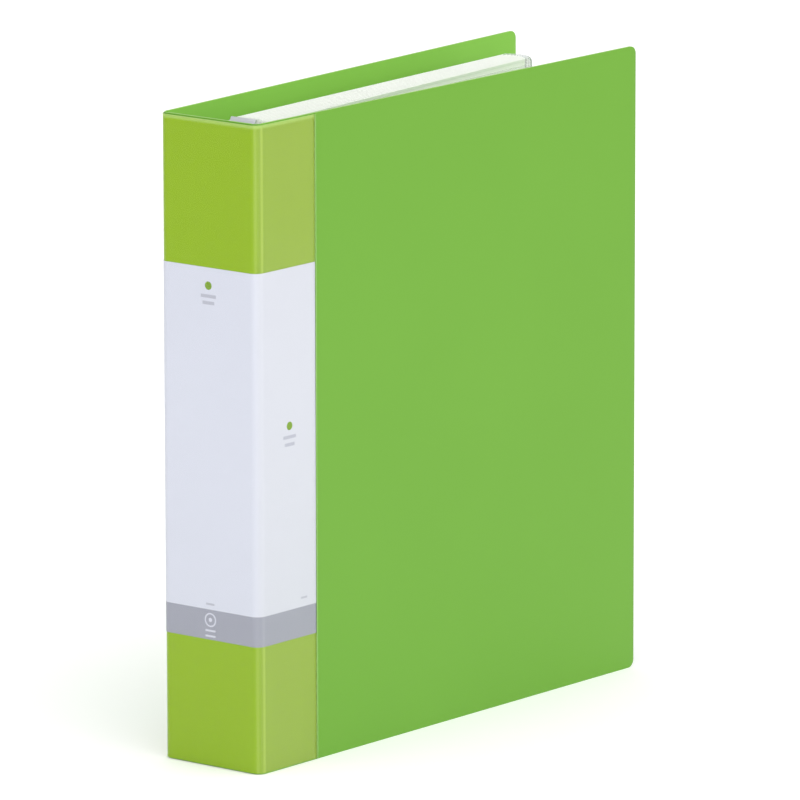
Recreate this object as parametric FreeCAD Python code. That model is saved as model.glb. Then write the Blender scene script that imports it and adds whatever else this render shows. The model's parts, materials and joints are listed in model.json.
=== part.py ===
"""Stamp album: a standing ring binder of polypropylene sheet with punched stock leaves.

The spine board stands on its foot, with its width along Y and its height along Z. The covers run
from it along +X, the front cover on the -Y side and the back cover on the +Y side. A clear sleeve
is wrapped round the outside of the spine, over a tinted liner and a paper label. Inside, a metal
ring mechanism is riveted to the spine board: an arched plate, two blades that carry half rings and
turn about their outer edges, and a lever at each end that lifts the blades. The leaves hang on
the rings, each with a row of oblong holes and rows of clear pockets on both faces.

The origin is at the centre of the spine board's foot. All sizes are in millimetres and degrees.
"""

import FreeCAD
import Part
import math
import os

Vec = FreeCAD.Vector
Z_AXIS = Vec(0, 0, 1)
FRONT, BACK = -1, 1  # the side of the spine's middle plane, along Y
SLACK = 1.0  # how far a cutting tool runs past what it cuts

# ---- covers: driving sizes ----
height = 310.0
spine_width = 57.1  # over the outer faces of the closed covers
cover_depth = 277.6  # spine's outer face to the fore edge
board = 1.2  # polypropylene sheet
web = 0.6  # the sheet where it is pressed thin, as a living hinge
corner_radius = 4.0  # outside, where the sheet turns from spine to cover
fore_radius = 4.0  # rounded corners of the covers
web_gap = 0.4  # between a hinge web and the cover that starts after it
front_splay = 3.2  # how far each cover stands open from square to the spine
back_splay = 0.3

# ---- what is wrapped round the spine ----
flap = 40.6  # spine's outer face to the weld that closes the sleeve
rivet_head = 0.6
spine_room = rivet_head + 0.1  # liner to board on the spine, over the rivet heads
cover_room = 0.05  # liner to board on the covers
layer_gap = 0.05
liner_sheet = 0.25
label_sheet = 0.15
sleeve_film = 0.2
wrap_inset = 0.6  # the wrapping stops short of the boards' top and foot edges
wrap_relief = 0.6  # how far before the end of the corner the spine's wrapping stops
label_foot = 61.5
label_top = 239.6
weld = 0.8  # width of the weld, and so how far the liner and label stop before the flap's end

# ---- ring mechanism ----
ring_pitch = 9.5
ring_margin = 17.0  # least distance from an end ring to the edge of the board
ring_side_room = 10.35  # ring's centreline to the inside of a closed cover
ring_floor = 3.4  # lowest point of a ring's circle above the spine board
wire = 0.9  # radius of the ring wire
tip_gap = 0.1  # each ring tip to the middle plane
ring_swing = 9.0  # each half ring, from closed to open
leg_side = 7.5  # where a ring's straight leg stands on the blade, from the middle plane

plate_sheet = 0.9
plate_half = 12.0
plate_wall = 3.0  # height of the side walls over the spine board
plate_crown = 7.4  # height of the arch over the spine board
plate_lip = 2.4  # the edges folded in under the blades
plate_overhang = 7.75  # past the end rings
slot_inner, slot_outer = 6.0, 10.9  # the slots in the arch that the wires pass through
slot_width = 3.0

blade_sheet = 0.9
blade_outer = 10.6  # outer edge of each blade, which it turns about
blade_rise = 2.4  # that edge's height over the spine board
blade_gap = 0.1  # each blade's inner edge to the middle plane, as they pass flat
blade_stop = 7.0  # blade's end to the plate's end

rivet_shank = 1.6
rivet_head_radius = 4.0
rivet_dome = 1.0
rivet_dome_radius = 3.4
rivet_notch = 3.0  # radius cut from the blades round each rivet
rivet_gaps = (3, 11)  # each rivet is this many ring gaps from an end of the row

pin_radius = 1.0
pin_fit = 0.06  # radial clearance in the lever's hub
pin_rise = 2.3  # over the spine board
pin_inset = 2.6  # from the plate's end
pin_head = 0.5
hub_radius = 1.7
lever_half = 7.4
lever_sheet = 1.2
lever_reach = 22.0  # how far the thumb piece stands over the hub
lever_lean = 2.6  # how far it leans away from the plate
lever_lip = 1.4  # the curled edge of the thumb piece
tongue_half = 1.5
tongue_sheet = 0.6
tongue_floor = 0.2  # tongue to spine board
tongue_length = 10.5

# ---- leaves ----
leaf_count = 10
leaf_card = 0.35
leaf_film = 0.12
leaf_end_gap = 5.0  # leaf's edge to the album's top and foot
leaf_fore_gap = 28.0  # outermost leaf's edge to the covers' fore edge
stack_back = 8.6  # rearmost leaf, behind the middle plane
stack_side = 4.6  # foremost leaf to the side of the ring circle
hole_height = 5.2
hole_edge = 3.2  # hole to the leaf's inner edge
hole_clear = 0.35  # hole's ends to the wire, with the rings closed or open
leaf_radius = 3.0
leaf_lean = -0.3  # rearmost leaf, from square to the spine towards the front
leaf_fan = -0.17  # each further leaf leans this much more: they gather at the fore edge
pocket_rows = 6
pocket_gap = 6.0  # holes to the pockets
clear_margin = 6.0  # the pockets' two films are joined past the card's fore edge, this wide
margin_gap = 0.1  # card to that join
pocket_edge = 3.0  # pockets to the leaf's top and foot
pocket_space = 3.0  # between rows

# ---- places worked out from the sizes ----
face = -board / 2  # outer face of the spine board
inside = board / 2  # its inner face
side = spine_width / 2
web_end = face + corner_radius
axis_inset = corner_radius * (1 - math.pi / 4)  # keeps the web's length when the cover lies flat
ring_radius = side - board - ring_side_room
ring_x = inside + ring_floor + ring_radius
ring_count = int((height - 2 * ring_margin) / ring_pitch) + 1
row_foot = (height - (ring_count - 1) * ring_pitch) / 2
ring_heights = [row_foot + i * ring_pitch for i in range(ring_count)]
plate_foot = row_foot - plate_overhang
plate_top = height - plate_foot
blade_x = inside + blade_rise
blade_dip = ring_swing / 2  # closed blades dip as far below flat as open ones rise above it
rivet_heights = [
    end + way * (gaps + 0.5) * ring_pitch
    for gaps in rivet_gaps
    for end, way in ((ring_heights[0], 1), (ring_heights[-1], -1))
]
pin_x = inside + pin_rise
leaf_height = height - 2 * leaf_end_gap
leaf_pitch = (stack_back + ring_radius - stack_side) / (leaf_count - 1)
leaf_sides = [stack_back - i * leaf_pitch for i in range(leaf_count)]
side_most = max(abs(y) for y in leaf_sides)
side_edge = side_most + leaf_card / 2
# A half ring's arc moves this far as the rings open, and so the wire goes this much further out.
open_shift = 2 * math.hypot(ring_x - blade_x, blade_outer) * math.sin(math.radians(ring_swing / 2))
wire_rest = math.sqrt(ring_radius**2 - side_most**2)
hole_in = wire_rest - math.sqrt((ring_radius - wire) ** 2 - side_edge**2) + hole_clear
hole_out = math.sqrt((ring_radius + wire + open_shift) ** 2 - side_edge**2) - wire_rest + hole_clear
hole_length = hole_in + hole_out
hole_middle = hole_edge + hole_length / 2
pocket_start = hole_edge + hole_length + pocket_gap
leaf_starts = [  # each leaf's inner edge, out from the ring's axis
    math.sqrt(ring_radius**2 - y**2) - hole_in - hole_edge for y in leaf_sides
]
leaf_width = cover_depth + face - leaf_fore_gap - ring_x - max(leaf_starts)
card_width = leaf_width - clear_margin


# ---- helpers ----
def block(x0, x1, y0, y1, z0, z1):
    """A box between two corners, whichever way round each pair is given."""
    low = Vec(min(x0, x1), min(y0, y1), min(z0, z1))
    return Part.makeBox(abs(x1 - x0), abs(y1 - y0), abs(z1 - z0), low)


def round_bar(radius, start, end):
    """A cylinder from one point to another."""
    along = end - start
    return Part.makeCylinder(radius, along.Length, start, along)


def turned(shape, x, y, angle):
    """A copy turned about the upright line through x, y."""
    copy = shape.copy()
    copy.rotate(Vec(x, y, 0), Z_AXIS, angle)
    return copy


def rounded_fore_edge(shape, fore, thickness_from, thickness_to, z0, z1, radius):
    """Cuts the two corners at the fore edge of an upright sheet to a radius."""
    for corner, way in ((z0, 1), (z1, -1)):
        centre = Vec(fore - radius, thickness_from, corner + way * radius)
        waste = block(
            fore - radius, fore + SLACK, thickness_from, thickness_to, corner - way * SLACK, centre.z
        )
        disc = round_bar(radius, centre, Vec(centre.x, thickness_to, centre.z))
        shape = shape.cut(waste.cut(disc))
    return shape


def export(name, *shapes):
    """Writes one node's solids to its STEP file."""
    solids = [solid for shape in shapes for solid in shape.Solids]
    Part.makeCompound(solids).exportStep(f"parts/{name}.step")
    print(f"{name}: {len(solids)} solids, {sum(s.Volume for s in solids):.1f} mm3")


# ---- cover ----
def hinge_axis(way):
    """x, y of the upright line that a cover turns about, just inside the outer corner."""
    return face + axis_inset, way * (side - axis_inset)


def with_cover(shape, way):
    """Turns what is on a cover from closed to how far the cover stands open."""
    splay = front_splay if way == FRONT else back_splay
    return turned(shape, *hinge_axis(way), way * splay)


def cover_board(way):
    """One cover, from just past its hinge web to the fore edge."""
    fore = face + cover_depth
    sheet = block(web_end + web_gap, fore, way * side, way * (side - board), 0, height)
    sheet = rounded_fore_edge(
        sheet, fore, way * (side + SLACK), way * (side - board - SLACK), 0, height, fore_radius
    )
    return with_cover(sheet, way)


def hinge_web(way):
    """The thin quarter turn of sheet between the spine board and a cover."""
    centre = Vec(web_end, way * (side - corner_radius), 0)
    tube = Part.makeCylinder(corner_radius, height, centre).cut(
        Part.makeCylinder(corner_radius - web, height, centre)
    )
    return tube.common(
        block(face - SLACK, web_end, centre.y, way * (side + SLACK), 0, height)
    )


def spine_board():
    """The flat spine, with its rivet holes."""
    half = side - corner_radius
    sheet = block(face, inside, -half, half, 0, height)
    for z in rivet_heights:
        hole = round_bar(rivet_shank, Vec(face - SLACK, 0, z), Vec(inside + SLACK, 0, z))
        sheet = sheet.cut(hole)
    return sheet


# ---- sleeve, label and liner ----
def wrapping(under, sheet, z0, z1, reach):
    """A sheet wrapped round the spine as three solids: on the spine, the front and the back cover.

    under is how far its inner side lies outside the liner's, and reach where its flaps end.
    """
    spine_out = face - spine_room - under
    cover_out = side + cover_room + under
    bend = corner_radius + cover_room + under

    def tunnel(grow):
        """An upright block with the rounded outline of the wrapping's inner or outer side."""
        solid = block(
            spine_out - grow, flap, -(cover_out + grow), cover_out + grow, z0, z1
        )
        edges = [
            edge
            for edge in solid.Edges
            if abs(edge.BoundBox.ZLength - (z1 - z0)) < 1e-6 and edge.CenterOfMass.x < face
        ]
        return solid.makeFillet(bend + grow, edges)

    shell = tunnel(sheet).cut(tunnel(0))
    on_spine = shell.common(
        block(
            spine_out - sheet - SLACK,
            web_end - wrap_relief,
            -(cover_out + sheet + SLACK),
            cover_out + sheet + SLACK,
            z0,
            z1,
        )
    )
    flaps = [
        block(web_end + web_gap, face + reach, way * cover_out, way * (cover_out + sheet), z0, z1)
        for way in (FRONT, BACK)
    ]
    return on_spine, *flaps


def weld_bar(way, under):
    """Where the sleeve's flap is welded down to the cover board."""
    outer = way * (side + cover_room + under)
    return block(face + flap - weld, face + flap, way * side, outer, wrap_inset, height - wrap_inset)


# ---- ring mechanism ----
def plate_arch(shrink):
    """An upright bar with the outline of the arch, drawn in by shrink."""
    half = plate_half - shrink
    base, wall, crown = inside, inside + plate_wall, inside + plate_crown - shrink
    points = [Vec(base, half, 0), Vec(base, -half, 0), Vec(wall, -half, 0), Vec(wall, half, 0)]
    arch = Part.Arc(points[2], Vec(crown, 0, 0), points[3]).toShape()
    outline = Part.Wire(
        [
            Part.makeLine(points[0], points[1]),
            Part.makeLine(points[1], points[2]),
            arch,
            Part.makeLine(points[3], points[0]),
        ]
    )
    bar = Part.Face(outline).extrude(Vec(0, 0, plate_top - plate_foot))
    bar.translate(Vec(0, 0, plate_foot))
    return bar


def ring_plate(rivets):
    """The arched plate, open underneath, with slots for the wires and holes for rivets and pins."""
    lip_half = plate_half - plate_lip
    hollow = plate_arch(plate_sheet).cut(
        block(inside, inside + plate_sheet, -plate_half, plate_half, 0, height)
    )
    mouth = block(inside - SLACK, inside + 2 * plate_sheet, -lip_half, lip_half, 0, height)
    plate = plate_arch(0).cut(hollow.fuse(mouth))
    slots = [
        block(
            inside + plate_wall - plate_sheet,
            inside + plate_crown,
            way * slot_inner,
            way * slot_outer,
            z - slot_width / 2,
            z + slot_width / 2,
        )
        for way in (FRONT, BACK)
        for z in ring_heights
    ]
    pins = [
        round_bar(pin_radius, Vec(pin_x, -plate_half - SLACK, z), Vec(pin_x, plate_half + SLACK, z))
        for z in (plate_foot + pin_inset, plate_top - pin_inset)
    ]
    return plate.cut(slots + pins + rivets)


def rivet(z):
    """A rivet through the spine board and the top of the arch."""
    crown = inside + plate_crown
    flat = round_bar(rivet_head_radius, Vec(face - rivet_head, 0, z), Vec(face, 0, z))
    shank = round_bar(rivet_shank, Vec(face - rivet_head, 0, z), Vec(crown, 0, z))
    dome = Part.makeCone(
        rivet_dome_radius,
        rivet_dome_radius - rivet_dome,
        rivet_dome,
        Vec(crown - rivet_dome / 2, 0, z),
        Vec(1, 0, 0),
    )
    return flat.fuse([shank, dome])


def blade(way):
    """A flat blade that reaches from its outer edge to the middle plane, closed."""
    flat = block(
        blade_x - blade_sheet / 2,
        blade_x + blade_sheet / 2,
        way * blade_outer,
        way * blade_gap,
        plate_foot + blade_stop,
        plate_top - blade_stop,
    )
    flat = turned(flat, blade_x, way * blade_outer, -way * blade_dip)
    for z in rivet_heights:
        flat = flat.cut(round_bar(rivet_notch, Vec(inside, 0, z), Vec(inside + plate_crown, 0, z)))
    return flat


def half_rings(way, carrier):
    """A row of half rings, each an arc from its tip to a straight leg on the blade."""
    tip = math.asin((tip_gap / ring_radius))
    foot = math.pi - math.asin(leg_side / ring_radius)
    start = Vec(ring_x + ring_radius * math.cos(tip), way * ring_radius * math.sin(tip), 0)
    tangent = Vec(-math.sin(tip), way * math.cos(tip), 0)
    disc = Part.Face(Part.Wire(Part.makeCircle(wire, start, tangent)))
    sweep = way * math.degrees(foot - tip)
    arc = disc.revolve(Vec(ring_x, 0, 0), Z_AXIS, sweep)
    knee = Vec(ring_x + ring_radius * math.cos(foot), way * leg_side, 0)
    leg = round_bar(wire, knee, Vec(blade_x - blade_sheet / 2, way * leg_side, 0))
    ring = arc.fuse([leg, Part.makeSphere(wire, knee)])
    rings = []
    for z in ring_heights:
        copy = ring.copy()
        copy.translate(Vec(0, 0, z))
        rings.append(max(copy.cut(carrier).Solids, key=lambda solid: solid.Volume))
    return rings


def bent_strip(points, sheet, half):
    """A strip of sheet across Y that follows a path of x, z points, with rounded bends."""
    pieces = []
    for (x0, z0), (x1, z1) in zip(points, points[1:]):
        length = math.hypot(x1 - x0, z1 - z0)
        across = Vec((z0 - z1) / length, 0, (x1 - x0) / length) * (sheet / 2)
        ends = [Vec(x0, -half, z0), Vec(x1, -half, z1)]
        corners = [ends[0] + across, ends[1] + across, ends[1] - across, ends[0] - across]
        outline = Part.makePolygon(corners + corners[:1])
        pieces.append(Part.Face(outline).extrude(Vec(0, 2 * half, 0)))
    for x, z in points[1:]:
        pieces.append(round_bar(sheet / 2, Vec(x, -half, z), Vec(x, half, z)))
    return pieces[0].fuse(pieces[1:])


def lever(way):
    """An end lever: hub, thumb piece and the tongue that lies under the blades. way is +1 at the top."""
    end = plate_top if way > 0 else plate_foot
    pin_z = end - way * pin_inset
    stand = end + way * (lever_sheet / 2 + 0.6)
    thumb = [
        (pin_x, pin_z),
        (pin_x, stand),
        (pin_x + lever_reach, stand + way * lever_lean),
        (pin_x + lever_reach + lever_lip / 2, stand + way * (lever_lean + lever_lip)),
    ]
    hub = round_bar(hub_radius, Vec(pin_x, -lever_half, pin_z), Vec(pin_x, lever_half, pin_z))
    tongue = block(
        inside + tongue_floor,
        inside + tongue_floor + tongue_sheet,
        -tongue_half,
        tongue_half,
        pin_z,
        pin_z - way * tongue_length,
    )
    bore = round_bar(
        pin_radius + pin_fit,
        Vec(pin_x, -lever_half - SLACK, pin_z),
        Vec(pin_x, lever_half + SLACK, pin_z),
    )
    return hub.fuse([bent_strip(thumb, lever_sheet, lever_half), tongue]).cut(bore)


def lever_pin(z):
    """The pin across the plate that a lever turns on, headed at both ends."""
    shank = round_bar(pin_radius, Vec(pin_x, -plate_half, z), Vec(pin_x, plate_half, z))
    heads = [
        round_bar(
            pin_radius + pin_head / 2,
            Vec(pin_x, way * plate_half, z),
            Vec(pin_x, way * (plate_half + pin_head), z),
        )
        for way in (FRONT, BACK)
    ]
    return shank.fuse(heads)


# ---- leaves ----
def punched_holes():
    """The row of oblong holes, as solids to cut away, with the leaf's inner edge at x = 0."""
    run = (hole_length - hole_height) / 2
    holes = []
    for z in ring_heights:
        ends = [
            round_bar(
                hole_height / 2,
                Vec(hole_middle + shift, -SLACK, z),
                Vec(hole_middle + shift, SLACK, z),
            )
            for shift in (-run, run)
        ]
        middle = block(
            hole_middle - run, hole_middle + run, -SLACK, SLACK, z - hole_height / 2, z + hole_height / 2
        )
        holes.append(middle.fuse(ends))
    return holes


def leaf_card_sheet():
    """One leaf's card, punched, with its inner edge at x = 0 and its middle at y = 0."""
    half = leaf_card / 2
    sheet = block(0, card_width, -half, half, leaf_end_gap, height - leaf_end_gap)
    return sheet.cut(punched_holes())


def leaf_pockets():
    """The clear pocket rows on both faces of a leaf, joined in a clear margin past the card."""
    half = leaf_card / 2
    top = height - leaf_end_gap
    join = card_width + margin_gap
    outline = block(join, leaf_width, -half - leaf_film, half + leaf_film, leaf_end_gap, top)
    clear = rounded_fore_edge(outline, leaf_width, -SLACK, SLACK, leaf_end_gap, top, leaf_radius)
    pitch = (leaf_height - 2 * pocket_edge + pocket_space) / pocket_rows
    strips = []
    for way in (FRONT, BACK):
        for row in range(pocket_rows):
            foot = leaf_end_gap + pocket_edge + row * pitch
            outer = way * (half + leaf_film)
            strips.append(
                block(pocket_start, join, way * half, outer, foot, foot + pitch - pocket_space)
            )
    return clear.fuse(strips)


def on_rings(shape, number):
    """Hangs a leaf's piece on the rings. Number 0 is the rearmost leaf."""
    copy = shape.copy()
    copy.translate(Vec(ring_x + leaf_starts[number], leaf_sides[number], 0))
    return turned(copy, ring_x, 0, -(leaf_lean + number * leaf_fan))


# ---- write every node ----
os.makedirs("parts", exist_ok=True)

export("spine_board", spine_board())
export("front_hinge_web", hinge_web(FRONT))
export("back_hinge_web", hinge_web(BACK))
export("front_cover", cover_board(FRONT))
export("back_cover", cover_board(BACK))

label_under = liner_sheet + layer_gap
sleeve_under = label_under + label_sheet + layer_gap
wrappings = {
    "liner": wrapping(0, liner_sheet, wrap_inset, height - wrap_inset, flap - weld),
    "label": wrapping(label_under, label_sheet, label_foot, label_top, flap - weld),
    "sleeve": wrapping(sleeve_under, sleeve_film, wrap_inset, height - wrap_inset, flap),
}
for layer, (on_spine, *flaps) in wrappings.items():
    export(f"{layer}_spine", on_spine)
    for side_name, way, sheet in (("front", FRONT, flaps[0]), ("back", BACK, flaps[1])):
        if layer == "sleeve":
            sheet = sheet.fuse(weld_bar(way, sleeve_under))
        export(f"{layer}_{side_name}_flap", with_cover(sheet, way))

rivet_row = [rivet(z) for z in rivet_heights]
export("rivets", *rivet_row)
export("ring_plate", ring_plate(rivet_row))
for side_name, way in (("front", FRONT), ("back", BACK)):
    carrier = blade(way)
    export(f"{side_name}_blade", carrier)
    export(f"{side_name}_half_rings", *half_rings(way, carrier))
export("top_lever", lever(1))
export("bottom_lever", lever(-1))
export("lever_pins", lever_pin(plate_top - pin_inset), lever_pin(plate_foot + pin_inset))

card, pockets = leaf_card_sheet(), leaf_pockets()
for number in range(leaf_count):
    leaf_name = f"leaf_{leaf_count - number:02d}"
    export(f"{leaf_name}_card", on_rings(card, number))
    export(f"{leaf_name}_pockets", on_rings(pockets, number))

print("front hinge axis", hinge_axis(FRONT), "back", hinge_axis(BACK))
print("ring axis", ring_x, "ring radius", ring_radius, "rings", ring_count)
print("blade axes", blade_x, blade_outer, "pins", pin_x, plate_foot + pin_inset, plate_top - pin_inset)
print("leaf width", leaf_width, "pitch", leaf_pitch, "hole", hole_length, "first start", leaf_starts[0])
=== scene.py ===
# %% [markdown]
# # Stamp album
#
# A standing ring binder of green polypropylene sheet, with a clear sleeve over a lime liner and a
# paper label round its spine, a ring mechanism inside, and ten stock leaves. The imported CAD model
# is the frame: it says where each piece is and how it moves. Here the pieces get their finished
# shapes and materials. The two blades and the leaves' cards keep the CAD's shape and only get a
# material. Lengths are named in millimetres and turned into metres where a mesh is made.

# %% Load the frame
import json
import math

import bmesh
import bpy
from mathutils import Matrix, Vector


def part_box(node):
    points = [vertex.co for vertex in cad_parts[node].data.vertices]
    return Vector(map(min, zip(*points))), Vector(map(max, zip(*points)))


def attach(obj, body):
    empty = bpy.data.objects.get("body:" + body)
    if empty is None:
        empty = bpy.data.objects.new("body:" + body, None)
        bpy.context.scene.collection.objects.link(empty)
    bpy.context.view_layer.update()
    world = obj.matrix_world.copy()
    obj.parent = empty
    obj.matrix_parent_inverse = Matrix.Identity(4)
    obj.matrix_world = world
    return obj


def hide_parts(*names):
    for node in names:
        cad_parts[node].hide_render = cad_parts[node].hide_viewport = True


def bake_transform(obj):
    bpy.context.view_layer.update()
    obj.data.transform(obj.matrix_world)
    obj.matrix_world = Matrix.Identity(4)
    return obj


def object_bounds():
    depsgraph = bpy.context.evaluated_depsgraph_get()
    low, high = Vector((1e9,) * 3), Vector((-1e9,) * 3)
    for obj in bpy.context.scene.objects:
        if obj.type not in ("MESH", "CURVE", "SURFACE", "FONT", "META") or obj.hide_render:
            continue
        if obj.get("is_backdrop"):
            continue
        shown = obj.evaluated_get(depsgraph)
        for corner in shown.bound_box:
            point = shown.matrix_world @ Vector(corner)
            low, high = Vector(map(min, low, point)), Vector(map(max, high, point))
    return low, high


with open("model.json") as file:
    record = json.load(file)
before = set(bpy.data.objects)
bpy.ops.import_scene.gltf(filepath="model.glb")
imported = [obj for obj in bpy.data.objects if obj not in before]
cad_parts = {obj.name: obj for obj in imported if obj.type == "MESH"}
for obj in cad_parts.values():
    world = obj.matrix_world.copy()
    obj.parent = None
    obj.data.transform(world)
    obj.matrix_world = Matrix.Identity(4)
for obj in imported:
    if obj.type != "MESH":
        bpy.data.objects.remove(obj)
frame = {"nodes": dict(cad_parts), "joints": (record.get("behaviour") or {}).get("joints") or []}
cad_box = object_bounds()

MM = 0.001

# %% [markdown]
# ## Sizes
#
# Sizes that the CAD nodes can tell are read from their boxes and from the joints, so the looks
# follow the frame. What they can't tell is named here. FRONT and BACK are the sides of the spine's
# middle plane, as in the CAD.

# %% Sizes
FRONT, BACK = -1, 1


def span(node):
    """A CAD node's lowest and highest corner, in millimetres."""
    low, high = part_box(node)
    return [v / MM for v in low], [v / MM for v in high]


joints = {joint["name"]: joint for joint in frame["joints"]}
board_low, board_high = span("spine_board")
web_low, web_high = span("front_hinge_web")
FACE, INSIDE = board_low[0], board_high[0]
BOARD = INSIDE - FACE
HEIGHT = board_high[2]
SIDE = -web_low[1]
CORNER = web_high[0] - web_low[0]
WEB_END = web_high[0]
WEB = 0.6
FORE = FACE + 277.6
FORE_RADIUS = 4.0
HINGE = [v / MM for v in joints["front_cover_hinge"]["pos_m"][:2]]
HINGE_X, HINGE_SIDE = HINGE[0], -HINGE[1]
SPLAY = {FRONT: 3.2, BACK: 0.3}
BODY = {FRONT: "front_cover", BACK: "back_cover"}
SIDE_NAME = {FRONT: "front", BACK: "back"}

ROOM_SPINE, ROOM_COVER, LAYER_GAP = 0.7, 0.05, 0.05
LINER, LABEL, FILM = 0.25, 0.15, 0.2
FLAP, WELD = 40.6, 0.8
WRAP_INSET = 0.6
LABEL_FOOT, LABEL_TOP = span("label_spine")[0][2], span("label_spine")[1][2]
BAND_TOP = 76.0

RING_AXIS = joints["leaf_01_turn"]["pos_m"][0] / MM
RING_RADIUS, WIRE, TIP_GAP, LEG_SIDE = 17.0, 0.9, 0.1, 7.5
RING_PITCH = 9.5
RING_COUNT = 30
ROW_FOOT = (HEIGHT - (RING_COUNT - 1) * RING_PITCH) / 2
print("height", HEIGHT, "side", SIDE, "hinge", HINGE, "ring axis", RING_AXIS)

# %% [markdown]
# ## Mesh and Geometry Nodes helpers
#
# Flat stock is built as a slab: columns of points across it, each with an outer and an inner point
# and its own foot and top, so that one function makes boards with rounded corners, webs and films.
# What repeats along a row is one unit mesh that a Geometry Nodes group sets out and merges.

# %% Mesh helpers
def new_object(name, mesh):
    piece = bpy.data.objects.new(name, mesh)
    bpy.context.scene.collection.objects.link(piece)
    return piece


def finished(piece):
    """The piece with its modifiers turned into plain mesh."""
    graph = bpy.context.evaluated_depsgraph_get()
    mesh = bpy.data.meshes.new_from_object(
        piece.evaluated_get(graph), preserve_all_data_layers=True, depsgraph=graph
    )
    old = piece.data
    piece.modifiers.clear()
    piece.data = mesh
    bpy.data.meshes.remove(old)
    return piece


def round_edges(piece, width, angle):
    """Rounds the sharp edges of a piece by a small width, in millimetres."""
    bevel = piece.modifiers.new("edges", "BEVEL")
    bevel.width, bevel.segments = width * MM, 2
    bevel.limit_method, bevel.angle_limit = "ANGLE", math.radians(angle)
    bevel.use_clamp_overlap = True
    bevel.harden_normals = False
    return finished(piece)


def smooth(piece, angle):
    for polygon in piece.data.polygons:
        polygon.use_smooth = True
    piece.data.set_sharp_from_angle(angle=math.radians(angle))
    return piece


def slab(name, columns, rows=1, joined_start=False):
    """A sheet. Each column is (outer xy, inner xy, distance along, foot, top), in mm.

    Material 0 is on its outer face, 1 on its rim and 2 on its inner face. UV is distance along and
    height. The sheet is closed, but where its start meets another sheet it has no rim.
    """
    mesh = bpy.data.meshes.new(name)
    points, along = [], []
    for side in (0, 1):
        for column in columns:
            x, y = column[side]
            for row in range(rows + 1):
                z = column[3] + (column[4] - column[3]) * row / rows
                points.append((x * MM, y * MM, z * MM))
                along.append((column[2] * MM, z * MM))
    line, half = rows + 1, len(columns) * (rows + 1)
    faces, rims = [], []
    for i in range(len(columns) - 1):
        for row in range(rows):
            a = i * line + row
            faces.append((a, a + line, a + line + 1, a + 1))
            faces.append((half + a, half + a + 1, half + a + line + 1, half + a + line))
        for a in (i * line, i * line + rows):
            rims.append((a, half + a, half + a + line, a + line))
    for a in (0, (len(columns) - 1) * line):
        for row in range(rows):
            rims.append((a + row, a + row + 1, half + a + row + 1, half + a + row))
    mesh.from_pydata(points, [], faces + rims)
    layer = mesh.uv_layers.new(name="UVMap")
    for polygon in mesh.polygons:
        polygon.material_index = polygon.index % 2 * 2 if polygon.index < len(faces) else 1
        for loop in polygon.loop_indices:
            layer.data[loop].uv = along[mesh.loops[loop].vertex_index]
    work = bmesh.new()
    work.from_mesh(mesh)
    bmesh.ops.recalc_face_normals(work, faces=work.faces)
    if joined_start:
        work.faces.ensure_lookup_table()
        start_rim = work.faces[len(faces) + len(rims) - 2 * rows : len(faces) + len(rims) - rows]
        bmesh.ops.delete(work, geom=start_rim, context="FACES_ONLY")
    work.to_mesh(mesh)
    work.free()
    return new_object(name, mesh)


def dress(piece, *materials):
    """Gives a piece its materials, keeping which face has which."""
    indices = [polygon.material_index for polygon in piece.data.polygons]
    piece.data.materials.clear()
    for material in materials:
        piece.data.materials.append(material)
    last = len(materials) - 1
    for polygon, index in zip(piece.data.polygons, indices):
        polygon.material_index = min(index, last)
    return piece


# %% A Geometry Nodes row
def row_group():
    """A node group that repeats its input mesh along a line, with a little variation in size."""
    group = bpy.data.node_groups.new("Row of copies", "GeometryNodeTree")
    sockets = {}
    for label, kind, default in (
        ("Unit", "NodeSocketGeometry", None),
        ("Count", "NodeSocketInt", 2),
        ("Start", "NodeSocketVector", (0, 0, 0)),
        ("Step", "NodeSocketVector", (0, 0, 0.01)),
        ("Variation", "NodeSocketFloat", 0.0),
        ("Seed", "NodeSocketInt", 0),
        ("Material", "NodeSocketMaterial", None),
    ):
        socket = group.interface.new_socket(label, in_out="INPUT", socket_type=kind)
        if default is not None:
            socket.default_value = default
        sockets[label] = socket.identifier
    group.interface.new_socket("Row", in_out="OUTPUT", socket_type="NodeSocketGeometry")
    nodes, links = group.nodes, group.links
    given, made = nodes.new("NodeGroupInput"), nodes.new("NodeGroupOutput")
    line = nodes.new("GeometryNodeMeshLine")
    line.mode = "OFFSET"
    links.new(given.outputs["Count"], line.inputs["Count"])
    links.new(given.outputs["Start"], line.inputs["Start Location"])
    links.new(given.outputs["Step"], line.inputs["Offset"])
    low, high = nodes.new("ShaderNodeMath"), nodes.new("ShaderNodeMath")
    low.operation, high.operation = "SUBTRACT", "ADD"
    low.inputs[0].default_value = high.inputs[0].default_value = 1.0
    for node in (low, high):
        links.new(given.outputs["Variation"], node.inputs[1])
    vary = nodes.new("FunctionNodeRandomValue")
    vary.data_type = "FLOAT"
    links.new(low.outputs[0], vary.inputs[2])
    links.new(high.outputs[0], vary.inputs[3])
    links.new(given.outputs["Seed"], vary.inputs["Seed"])
    copies = nodes.new("GeometryNodeInstanceOnPoints")
    links.new(line.outputs["Mesh"], copies.inputs["Points"])
    links.new(given.outputs["Unit"], copies.inputs["Instance"])
    links.new(vary.outputs[1], copies.inputs["Scale"])
    real = nodes.new("GeometryNodeRealizeInstances")
    paint = nodes.new("GeometryNodeSetMaterial")
    links.new(copies.outputs["Instances"], real.inputs["Geometry"])
    links.new(real.outputs["Geometry"], paint.inputs["Geometry"])
    links.new(given.outputs["Material"], paint.inputs["Material"])
    links.new(paint.outputs["Geometry"], made.inputs["Row"])
    return group, sockets


ROW, ROW_SOCKETS = row_group()


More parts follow.
